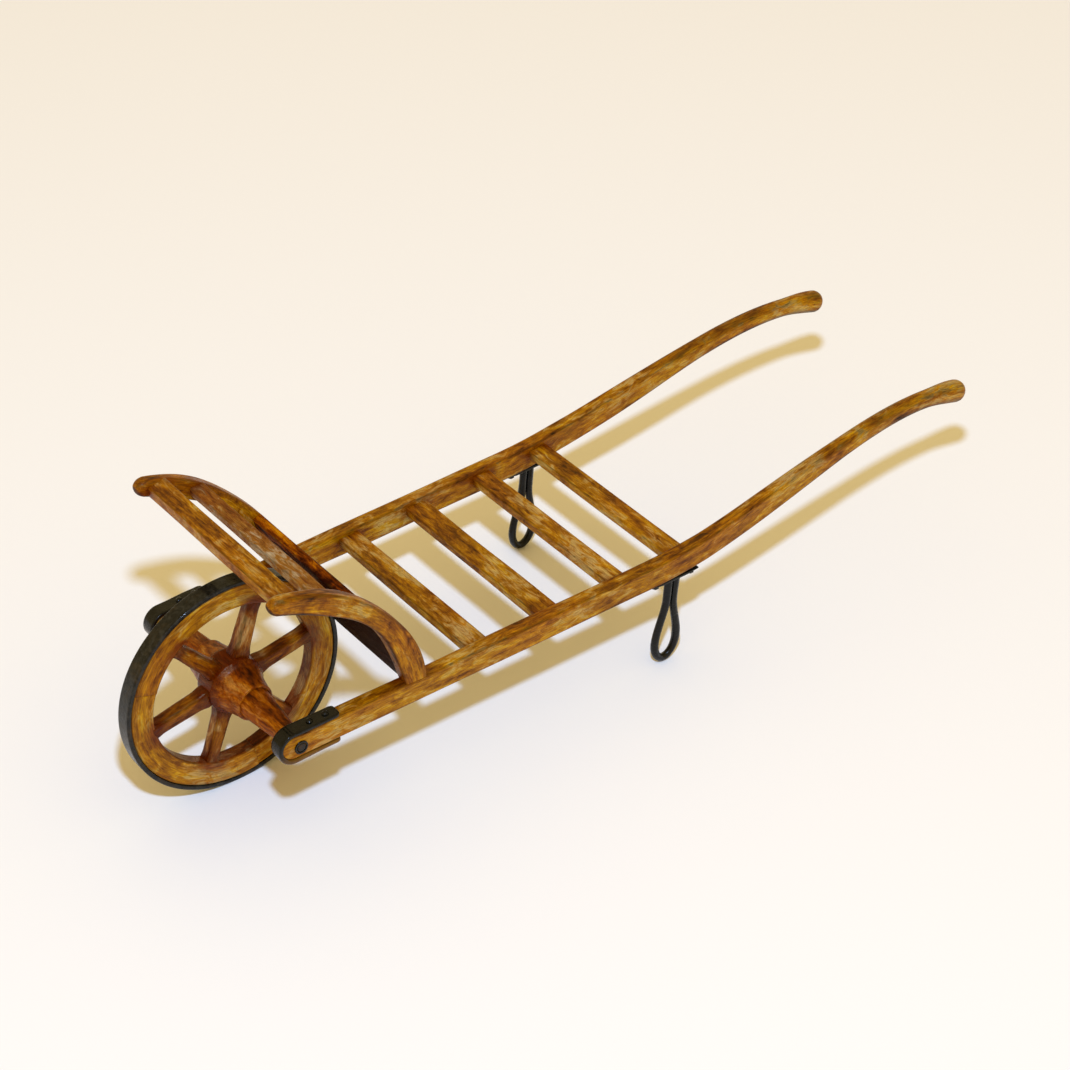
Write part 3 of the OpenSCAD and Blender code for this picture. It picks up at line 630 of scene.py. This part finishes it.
def peg_grid(start, way, length, radius, rng):
    """A round peg from start along way, with its two ends rounded over."""
    s = ticks(0, length, 0.006, 0.0012, 3)
    draw = quarter_round(s, 0, length, 0.0012)
    way = np.array(way, float)
    line = np.array(start) + way * s[:, None]
    other = np.array([1.0, 0, 0]) if abs(way[0]) < 0.5 else np.array([0, 1.0, 0])
    side = np.broadcast_to(np.cross(way, other), line.shape)
    up = np.cross(np.broadcast_to(way, line.shape), side)
    size = radius - draw
    return ring_sweep(line, side, up, size, size, size, s, rounded_section(2, 2, 4), rng, 0.0001)


def leg_line():
    """The leg's bar: down one strand, round the loop and up the other. The strand is straight, then a
    cubic curve out to the loop's widest place, then a quarter ellipse to the ground."""
    gap = LEG_R + 0.0005
    top, join = RAIL_Z - PLATE_T / 2, RAIL_Z - STRAND_L
    straight = np.stack([np.full(8, gap), np.linspace(top, join, 8)], 1)
    curve = bezier(np.array([[gap, join], [gap, join - 0.36 * (join - LOOP_Z)],
                             [LOOP_HALF_W, LOOP_Z + 0.36 * (join - LOOP_Z)], [LOOP_HALF_W, LOOP_Z]]),
                   np.linspace(0, 1, 22)[1:])
    turn = np.linspace(0, math.pi / 2, 16)[1:]
    bend = np.stack([LOOP_HALF_W * np.cos(turn), LOOP_Z - (LOOP_Z - LEG_R) * np.sin(turn)], 1)
    half = np.concatenate([straight, curve, bend])
    other = half[:-1][::-1] * [-1, 1]
    path = np.concatenate([half, other])
    path[:, 0] += LEG_RAKE * (RAIL_Z - path[:, 1]) / RAIL_Z
    x = AXLE[0] - LEG_S + path[:, 0]
    return np.stack([x, RAIL_Y + (AXLE[0] - x) * math.tan(SPLAY), path[:, 1]], 1)


def leg_grids(rng):
    """A leg: its round bar on leg_line(), and the flat plate under the shaft, thin at its ends."""
    line = leg_line()
    side, up = frames_on(line, np.array([0.0, 1.0, 0.0]))
    run = np.concatenate([[0], np.cumsum(np.linalg.norm(np.diff(line, axis=0), axis=1))])
    bar = ring_sweep(line, side, up, LEG_R, LEG_R, LEG_R, run, rounded_section(2, 2, 4), rng, 0.0004,
                     waves=(0.02, 0.02))
    s = ticks(-PLATE_HALF_L, PLATE_HALF_L, 0.004)
    draw = quarter_round(s, -PLATE_HALF_L, PLATE_HALF_L)
    taper = 0.5 + 0.5 * ease((PLATE_HALF_L - np.abs(s)) / 0.03)
    x = AXLE[0] - LEG_S + s
    plate = np.stack([x, RAIL_Y + (AXLE[0] - x) * math.tan(SPLAY), RAIL_Z - PLATE_T / 2 * taper], 1)
    flat_side, flat_up = frames_on(plate, np.array([0.0, 1.0, 0.0]))
    thick = PLATE_T / 2 * taper - draw * 0.5
    return [bar, ring_sweep(plate, flat_side, flat_up, RAIL_HALF_T - 0.003 - draw, thick, 0.0015, s,
                            rounded_section(6, 3, 3), rng, 0.0003)]


def spoke_grid(k, rng):
    """A spoke: a flat section along a radius, wider at the hub, with a small flare at both ends."""
    start, stop = DRUM_R - 0.006, FELLOE_IN + 0.006
    s = ticks(start, stop, 0.004, 0.002)
    share = (s - DRUM_R) / (FELLOE_IN - DRUM_R)
    flare = np.exp(-((s - DRUM_R) / 0.012) ** 2) + 0.7 * np.exp(-((s - FELLOE_IN) / 0.010) ** 2)
    width = SPOKE_HALF_W + (SPOKE_TIP_HALF_W - SPOKE_HALF_W) * share + 0.0030 * flare
    thick = SPOKE_HALF_T + 0.0015 * flare
    out = np.array([math.cos(spoke_angle(k)), 0, math.sin(spoke_angle(k))])
    line = AXLE + out * s[:, None]
    side = np.broadcast_to(np.array([0.0, 1.0, 0.0]), line.shape)
    up = np.cross(np.broadcast_to(out, line.shape), side)
    return ring_sweep(line, side, up, thick, width, 0.006, s, rounded_section(6, 6, 5), rng, 0.0008,
                      waves=(0.05, 0.02))


def felloe_grid(j, rng):
    """A felloe: a rounded section on an arc of the rim, from one joint to the next."""
    span = 2 * math.pi / FELLOES
    begin = FIRST_SPOKE - math.pi / SPOKES + j * span
    mid_r = (FELLOE_IN + FELLOE_OUT) / 2
    s = ticks(0.0002, span * mid_r - 0.0002, 0.005, 0.0008, 3)
    draw = quarter_round(s, 0.0002, span * mid_r - 0.0002, 0.0008)
    angle = begin + s / mid_r
    out = np.stack([np.cos(angle), 0 * angle, np.sin(angle)], 1)
    line = AXLE + out * mid_r
    side = out
    up = np.cross(np.stack([-np.sin(angle), 0 * angle, np.cos(angle)], 1), side)
    return ring_sweep(line, side, up, FELLOE_H / 2 - draw, FELLOE_HALF_W - draw, 0.0035, s,
                      rounded_section(8, 8, 4), rng, 0.0006, waves=(0.10, 0.03))


def tyre_grid(rng):
    """The tyre: a flat rounded section on the whole circle of the rim."""
    mid_r = WHEEL_R - TYRE_T / 2
    angle = np.linspace(0, 2 * math.pi, 240, endpoint=False)
    out = np.stack([np.cos(angle), 0 * angle, np.sin(angle)], 1)
    ahead = np.stack([-np.sin(angle), 0 * angle, np.cos(angle)], 1)
    return ring_sweep(AXLE + out * mid_r, out, np.cross(ahead, out), TYRE_T / 2, TYRE_HALF_W, 0.0025,
                      angle * mid_r, rounded_section(3, 8, 4), rng, 0.0, closed_path=True)


def mirror_profile(half):
    """A profile given from the middle out to the left, completed on the right."""
    half = np.array(half)
    return np.concatenate([half[::-1] * [-1, 1], half])


def hub_grid(rng):
    """The hub: a short drum that the spokes stand on, and a long tapered nose each side."""
    drum = [(0.0, DRUM_R), (DRUM_HALF - 0.003, DRUM_R), (DRUM_HALF + 0.001, DRUM_R - 0.004),
            (DRUM_HALF + 0.008, NOSE_R + 0.001), (HUB_HALF - 0.010, NOSE_END_R + 0.001),
            (HUB_HALF, NOSE_END_R), (HUB_HALF, AXLE_R - 0.001), (HUB_HALF - 0.004, AXLE_R - 0.003)]
    half = smoothed(drum, 0.004, 0.004)
    return lathe_rings(mirror_profile(half[1:]), rng, 0.0009)


def axle_grid(rng):
    """The axle: thick in the hub, tapered outwards, then slim as far as the pins."""
    taper_end = AXLE_HALF - AXLE_SLIM
    half = smoothed([(HUB_HALF - 0.008, AXLE_R), (HUB_HALF + 0.004, AXLE_R - 0.0005),
                     (taper_end, AXLE_MID_R), (AXLE_HALF, AXLE_END_R), (AXLE_HALF, GUDGEON_R * 0.8)],
                    0.005, 0.003)
    return lathe_rings(mirror_profile(half), rng, 0.0007)


def bush_grid(side):
    """A bush: a ring section turned about the axle, with rounded lips."""
    low, high = (float(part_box("left_bush")[i][1]) for i in (0, 1))
    middle, half = (low + high) / 2, (high - low) / 2
    inner = GUDGEON_R + 0.0004
    seat, facing = rounded_section(6, 3, 3)
    lip = 0.0009
    y = middle + seat[:, 0] * (half - lip) + facing[:, 0] * lip
    r = (BUSH_R + inner) / 2 + seat[:, 1] * ((BUSH_R - inner) / 2 - lip) + facing[:, 1] * lip
    angle = np.linspace(0, 2 * math.pi, 48, endpoint=False)
    spin = np.stack([np.cos(angle), 0 * angle, np.sin(angle)], 1)
    rings = AXLE + spin[:, None] * r[None, :, None] + np.array([0, 1.0, 0]) * y[None, :, None]
    normal = spin[:, None] * facing[None, :, 1:] + np.array([0, 1.0, 0]) * facing[None, :, :1]
    grid = (rings, normal, rings - AXLE, np.zeros(len(seat)))
    return grid if side > 0 else mirrored(grid)


def gudgeon_grid(side, rng):
    """A gudgeon pin with its outer end rounded over."""
    low, high = (float(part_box("left_gudgeon")[i][1]) for i in (0, 1))
    profile = smoothed([(low, 0.004), (low, GUDGEON_R - 0.0001), (high - 0.002, GUDGEON_R - 0.0001),
                        (high, GUDGEON_R - 0.002), (high + 0.0002, 0.003)], 0.004, 0.001)
    grid = lathe_rings(profile, rng, 0.0, 32)
    return grid if side > 0 else mirrored(grid)


# ---- Finishes ----


def paint(code):
    """A colour such as #b27f1e as linear red, green and blue."""
    value = np.array([int(code[i:i + 2], 16) for i in (1, 3, 5)]) / 255
    linear = np.where(value <= 0.04045, value / 12.92, ((value + 0.055) / 1.055) ** 2.4)
    return (*linear.tolist(), 1.0)


class Finish:
    """A material's nodes, made and joined by short calls. A value may be a number or a socket."""

    def __init__(self, name):
        self.material = bpy.data.materials.new(name)
        self.material.use_nodes = True
        self.tree = self.material.node_tree
        self.shader = self.tree.nodes["Principled BSDF"]

    def put(self, socket, value):
        """Joins a socket to an input, or sets the input to a plain value."""
        if isinstance(value, bpy.types.NodeSocket):
            self.tree.links.new(value, socket)
        else:
            socket.default_value = value

    def own(self, name, output="Fac"):
        """An attribute of the piece's own points."""
        node = self.tree.nodes.new("ShaderNodeAttribute")
        node.attribute_name = name
        return node.outputs[output]

    def place(self):
        """The point's place on the barrow, in metres."""
        return self.tree.nodes.new("ShaderNodeTexCoord").outputs["Object"]

    def stretched(self, vector, scale):
        """A vector with each of its parts multiplied by its own scale."""
        node = self.tree.nodes.new("ShaderNodeVectorMath")
        node.operation = "MULTIPLY"
        self.put(node.inputs[0], vector)
        self.put(node.inputs[1], scale)
        return node.outputs[0]

    def noise(self, vector, scale=1.0, detail=4.0, rough=0.55, twist=0.0):
        node = self.tree.nodes.new("ShaderNodeTexNoise")
        self.put(node.inputs["Vector"], vector)
        for name, value in (("Scale", scale), ("Detail", detail), ("Roughness", rough),
                            ("Distortion", twist)):
            self.put(node.inputs[name], value)
        return node.outputs["Fac"]

    def maths(self, kind, a, b=0.0, clamp=False):
        node = self.tree.nodes.new("ShaderNodeMath")
        node.operation = kind
        node.use_clamp = clamp
        self.put(node.inputs[0], a)
        self.put(node.inputs[1], b)
        return node.outputs[0]

    def fit(self, value, low, high, to_low=0.0, to_high=1.0):
        """Moves the range from low to high onto the range from to_low to to_high, and stops there."""
        node = self.tree.nodes.new("ShaderNodeMapRange")
        for slot, v in zip(("Value", "From Min", "From Max", "To Min", "To Max"),
                           (value, low, high, to_low, to_high)):
            self.put(node.inputs[slot], v)
        return node.outputs[0]

    def mix(self, share, a, b, blend="MIX"):
        node = self.tree.nodes.new("ShaderNodeMix")
        node.data_type = "RGBA"
        node.blend_type = blend
        self.put(node.inputs[0], share)
        self.put(node.inputs[6], a)
        self.put(node.inputs[7], b)
        return node.outputs[2]

    def ramp(self, value, stops):
        node = self.tree.nodes.new("ShaderNodeValToRGB")
        self.put(node.inputs[0], value)
        marks = node.color_ramp.elements
        while len(marks) < len(stops):
            marks.new(0.5)
        for mark, (at, code) in zip(marks, stops):
            mark.position = at
            mark.color = paint(code)
        return node.outputs[0]

    def bump(self, height, distance, strength=1.0, below=None):
        """Relief of the given depth, laid over the relief below it."""
        node = self.tree.nodes.new("ShaderNodeBump")
        self.put(node.inputs["Height"], height)
        self.put(node.inputs["Distance"], distance)
        self.put(node.inputs["Strength"], strength)
        if below is not None:
            self.put(node.inputs["Normal"], below)
        return node.outputs[0]

    def shade(self, **values):
        """Sets the surface's inputs, named with underscores for spaces, and gives the material."""
        for name, value in values.items():
            self.put(self.shader.inputs[name.replace("_", " ")], value)
        return self.material


def wood(name, tones, scuff, stain, worn=0.25, gloss=0.42, sheen=0.26, redden=0.55, follows_grain=True):
    """Old wood under tinted varnish. Long streaks and shorter daubs choose the tone, and a tone shift
    moves it, painting light and shade by which way each face turns. Pale scuffs, dark flecks, dark
    corners and the stain of the joints lie over that, and fine fibres cross it all. The joints' dark
    colour is also painted shade inside the rim, and is kept off the board's top as painted light."""
    f = Finish(name)
    grain = f.own("grain", "Vector") if follows_grain else f.place()
    streak = f.noise(f.stretched(grain, (9, 80, 80)), detail=5, rough=0.6, twist=0.5)
    daub = f.noise(f.stretched(grain, (26, 62, 62)), detail=6, rough=0.68, twist=0.9)
    patch = f.noise(f.stretched(grain, (7, 14, 14)), detail=3, rough=0.6)
    fibre = f.noise(f.stretched(grain, (45, 620, 620)), detail=3, rough=0.6)
    fleck = f.noise(f.stretched(grain, (150, 330, 330)), detail=2, rough=0.7)
    gold = f.own("gold") if follows_grain else 0.5
    tone = f.maths("ADD", f.fit(streak, 0.3, 0.7, -0.06, 0.38), f.fit(daub, 0.3, 0.7, -0.04, 0.44))
    tone = f.maths("ADD", tone, f.fit(patch, 0.35, 0.65, -0.17, 0.19))
    # Painted light and shade: the tone moves with which way each face turns.
    tone = f.maths("ADD", tone, f.fit(gold, -1, 1, -0.45, 0.22), clamp=True)
    colour = f.ramp(tone, tones)
    redder = f.noise(f.stretched(grain, (4.5, 11, 11)), detail=3, rough=0.6)
    colour = f.mix(f.fit(redder, 0.42, 0.62, 0, redden), colour, (1.0, 0.74, 0.35, 1), "MULTIPLY")
    scuffed = f.fit(f.maths("MULTIPLY", daub, patch), 0.27, 0.36, 0, worn)
    colour = f.mix(scuffed, colour, paint(scuff))
    flecks = f.fit(fleck, 0.64, 0.72, 0, 0.55)
    colour = f.mix(flecks, colour, paint(tones[0][1]))
    corner = f.maths("MULTIPLY", f.own("edge"), f.fit(daub, 0.42, 0.6, 0, 0.75))
    colour = f.mix(corner, colour, paint("#33270d"))
    # Joint varnish, and also painted shade inside the rim; taken off the board's top as painted light.
    joint = f.maths("MULTIPLY", f.own("stain"), f.fit(streak, 0.25, 0.6, 0.62, 1.0), clamp=True)
    colour = f.mix(f.maths("MULTIPLY", joint, 0.88), colour, paint(stain))
    colour = f.mix(1.0, colour, f.ramp(fibre, ((0.32, "#b0a89c"), (0.62, "#ffffff"))), "MULTIPLY")
    rough = f.fit(daub, 0.3, 0.7, gloss + 0.14, gloss - 0.08)
    rough = f.maths("SUBTRACT", rough, f.maths("MULTIPLY", joint, 0.2))
    relief = f.bump(daub, 0.0022, 0.55)
    relief = f.bump(fibre, 0.0007, 0.55, relief)
    relief = f.bump(fleck, 0.0008, 0.35, relief)
    return f.shade(Base_Color=colour, Roughness=rough, Normal=relief, Specular_IOR_Level=sheen,
                   Specular_Tint=(1.0, 0.72, 0.36, 1), Coat_Weight=0.12 * sheen, Coat_Roughness=0.16)


def iron(name, dark, pale, rust, rusty=0.35, gloss=0.24, sheen=0.10):
    """Forged iron under black wax: lumpy, with paler rubbed places and a little rust."""
    f = Finish(name)
    at = f.place()
    lump = f.noise(at, 95, 4, 0.6, 0.4)
    patch = f.noise(at, 26, 4, 0.65, 0.5)
    pit = f.noise(at, 420, 3, 0.6)
    colour = f.mix(f.fit(lump, 0.45, 0.68), paint(dark), paint(pale))
    colour = f.mix(f.fit(patch, 0.52, 0.7, 0, rusty), colour, paint(rust))
    browned = f.maths("MULTIPLY", f.own("gold"), f.fit(patch, 0.3, 0.6, 0.45, 1.0), clamp=True)
    colour = f.mix(browned, colour, paint("#6e470c"))
    rough = f.fit(lump, 0.3, 0.7, gloss - 0.1, gloss + 0.2)
    relief = f.bump(lump, 0.003, 0.6)
    relief = f.bump(pit, 0.0006, 0.5, relief)
    return f.shade(Base_Color=colour, Roughness=rough, Normal=relief, Specular_IOR_Level=sheen,
                   Coat_Weight=0.32, Coat_Roughness=0.09)


OCHRE_TONES = ((0.06, "#2a1400"), (0.26, "#6e3b00"), (0.45, "#985f00"), (0.63, "#b47b00"), (0.86, "#d0a000"))
DARK_TONES = ((0.04, "#280700"), (0.26, "#682900"), (0.50, "#9c4f00"), (0.72, "#b87000"), (0.96, "#c88c1a"))
SPOKE_TONES = ((0.04, "#2c0a00"), (0.26, "#6c3200"), (0.50, "#9c5c00"), (0.72, "#b67c0e"), (0.96, "#c49634"))
GREY_TONES = ((0.04, "#371806"), (0.28, "#784010"), (0.52, "#96601e"), (0.76, "#aa8040"), (0.96, "#b99a6c"))
# The board's two darkest stops make its nearly black front face: partly dark stain and partly painted shade.
BOARD_TONES = ((0.04, "#220300"), (0.30, "#340b00"), (0.52, "#7a3600"), (0.74, "#b86c00"), (0.96, "#c98706"))
OCHRE = wood("ochre_wood", OCHRE_TONES, "#b89f68", "#661a00", worn=0.6, sheen=0.2)
RED_BROWN = wood("red_brown_wood", DARK_TONES, "#b8935a", "#4c0d00", worn=0.22, gloss=0.34, sheen=0.2,
                 redden=0.4)
SPOKE_WOOD = wood("spoke_wood", SPOKE_TONES, "#bd9c66", "#4c0d00", worn=0.6, gloss=0.36, sheen=0.16)
BOARD = wood("board_wood", BOARD_TONES, "#8a5a2e", "#240400", worn=0.0, gloss=0.6, sheen=0.06)
GREYED = wood("greyed_wood", GREY_TONES, "#b9aa8e", "#521803", worn=0.6, gloss=0.6)
PLAIN_OCHRE = wood("pegs_and_dowels", OCHRE_TONES, "#b0955a", "#661a00", follows_grain=False)
BLACK_IRON = iron("black_iron", "#040402", "#0d0d09", "#22170a", 0.2)
TYRE_IRON = iron("tyre_iron", "#0a0906", "#2a271e", "#3a2a12", 0.5, 0.34)
BROWN_IRON = iron("brown_iron", "#120a04", "#3c2810", "#7a4412", 0.8, 0.4)

# ---- The frame of the barrow ----


def fresh(seed):
    """A new random source, so that each piece's unevenness is its own and never changes."""
    return np.random.default_rng(seed)


def make_frame():
    """The two shafts, the four slats and the pegs that show."""
    left = shaft_grid(fresh(11))
    make_piece("left_shaft", "frame", ["left_rail"], OCHRE, [left], painted_light_by_facing, seed=1)
    right = mirrored(shaft_grid(fresh(12)))
    make_piece("right_shaft", "frame", ["right_rail"], OCHRE, [right], painted_light_by_facing, seed=2)
    for i, (node, s, share) in enumerate(zip(SLAT_NAMES, SLAT_PLACES, SLAT_SHARES), 1):
        low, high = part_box(node)
        reach = RAIL_Y + s * math.tan(SPLAY) - RAIL_HALF_T
        grid = bar_grid(reach, AXLE[0] - s, SLAT_Z, float(high[0] - low[0]) / 2 * share,
                        float(high[2] - low[2]) / 2, fresh(20 + i))
        make_piece(f"bed_slat_{i}", "frame", [node], OCHRE, [grid], painted_light_by_facing, seed=2 + i)
    peg_up = [peg_grid([p[0], p[1], RAIL_Z - PEG_PROUD], [0, 0, 1], SLAT_PEG_L, PEG_R, fresh(30))
              for p in both([rail_point(s, 0, SLAT_PEG_INSET) for s in SLAT_PLACES])]
    make_piece("slat_peg_ends", "frame", ["slat_pegs"], OCHRE, peg_up, painted_light_by_facing, seed=8)
    start = rail_point(ARM_S, RAIL_TOP - ARM_PEG_DROP, RAIL_HALF_T + PEG_PROUD)
    peg_in = peg_grid(start, [0, 1, 0], ARM_PEG_L, PEG_R, fresh(31))
    make_piece("arm_peg_ends", "frame", ["arm_pegs"], OCHRE, [peg_in, mirrored(peg_in)],
               painted_light_by_facing, seed=9)


def make_guard():
    """The forward guard: two arms, two bars and the board."""
    make_piece("left_guard_arm", "frame", ["left_arm"], OCHRE,
               [arm_grid(0.0, fresh(41))], painted_light_by_facing, seed=10)
    make_piece("right_guard_arm", "frame", ["right_arm"], OCHRE,
               [mirrored(arm_grid(RIGHT_EASE, fresh(42)))], painted_light_by_facing, seed=11)
    for name, node, centre, half_w, half_t, finish, slot, seed in (
            ("front_bar", "top_bar", TOP_BAR, FRONT_BAR_HALF_W, FRONT_BAR_HALF_T, OCHRE, "wood_ochre", 12),
            ("second_bar", "middle_bar", MIDDLE_BAR, SECOND_BAR_HALF_W, SECOND_BAR_HALF_T, GREYED,
             "wood_grey", 13)):
        reach = RAIL_Y + (AXLE[0] - centre[0]) * math.tan(SPLAY) - ARM_HALF_T
        grid = bar_grid(reach, centre[0], centre[2], half_w, half_t, fresh(seed), 0.0035)
        make_piece(name, "frame", [node], finish, [grid], painted_light_by_facing, seed=seed)
    make_piece("guard_board", "frame", ["lower_board"], BOARD, [board_grid(fresh(44))],
               board_painted_light_and_shade, board_top_painted_light, seed=14)


def make_ironwork():
    """The iron on the frame: straps and their nails, legs and bushes."""
    strap = strap_grid(fresh(51))
    make_piece("left_strap", "frame", ["left_nose_strap"], BLACK_IRON, [strap],
               strap_brown, seed=15)
    make_piece("right_strap", "frame", ["right_nose_strap"], BLACK_IRON,
               [mirrored(strap_grid(fresh(52)))], strap_brown, seed=16)
    make_piece("nail_heads", "frame", ["strap_nails"], BLACK_IRON, nail_grids(fresh(53)),
               seed=17)
    make_piece("left_leg_loop", "frame", ["left_leg"], BLACK_IRON, leg_grids(fresh(54)),
               seed=18)
    make_piece("right_leg_loop", "frame", ["right_leg"], BLACK_IRON,
               [mirrored(g) for g in leg_grids(fresh(55))], seed=19)
    for side, name in ((1, "left"), (-1, "right")):
        make_piece(f"{name}_bush_ring", "frame", [f"{name}_bush"], BLACK_IRON,
                   [bush_grid(side)], closed_path=True, seed=20)


# ---- The wheel ----


def make_wheel():
    """The hub, the spokes, the rim, the tyre, the axle and its pins, which all turn together."""
    make_piece("hub_drum", "wheel", ["hub"], RED_BROWN, [hub_grid(fresh(61))], hub_painted_light,
               stain=0.05, seed=21)
    for k in range(SPOKES):
        make_piece(f"wheel_spoke_{k + 1}", "wheel", [f"spoke_{k + 1}"], SPOKE_WOOD,
                   [spoke_grid(k, fresh(70 + k))], spoke_painted_light, stain=0.05, seed=22 + k)
    for j in range(FELLOES):
        make_piece(f"rim_felloe_{j + 1}", "wheel", [f"felloe_{j + 1}"], OCHRE,
                   [felloe_grid(j, fresh(80 + j))], rim_painted_light_and_shade, rim_inner_painted_shade, seed=30 + j)
    make_piece("iron_tyre", "wheel", ["tyre"], TYRE_IRON, [tyre_grid(fresh(90))],
               closed_path=True, seed=34)
    make_piece("wooden_axle", "wheel", ["axle"], RED_BROWN, [axle_grid(fresh(91))],
               hub_painted_light, seed=35)
    for side, name in ((1, "left"), (-1, "right")):
        make_piece(f"{name}_gudgeon_pin", "wheel", [f"{name}_gudgeon"], BROWN_IRON,
                   [gudgeon_grid(side, fresh(92))], seed=36)


def finish_cad_nodes():
    """The nodes that keep their CAD shape: screws under the plates, and dowels inside the rim."""
    for node, finish in (("leg_screws", BLACK_IRON), ("felloe_dowels", PLAIN_OCHRE)):
        frame["nodes"][node].data.materials.clear()
        frame["nodes"][node].data.materials.append(finish)


make_camera()
make_light()
make_floor()
make_frame()
make_guard()
make_ironwork()
make_wheel()
finish_cad_nodes()
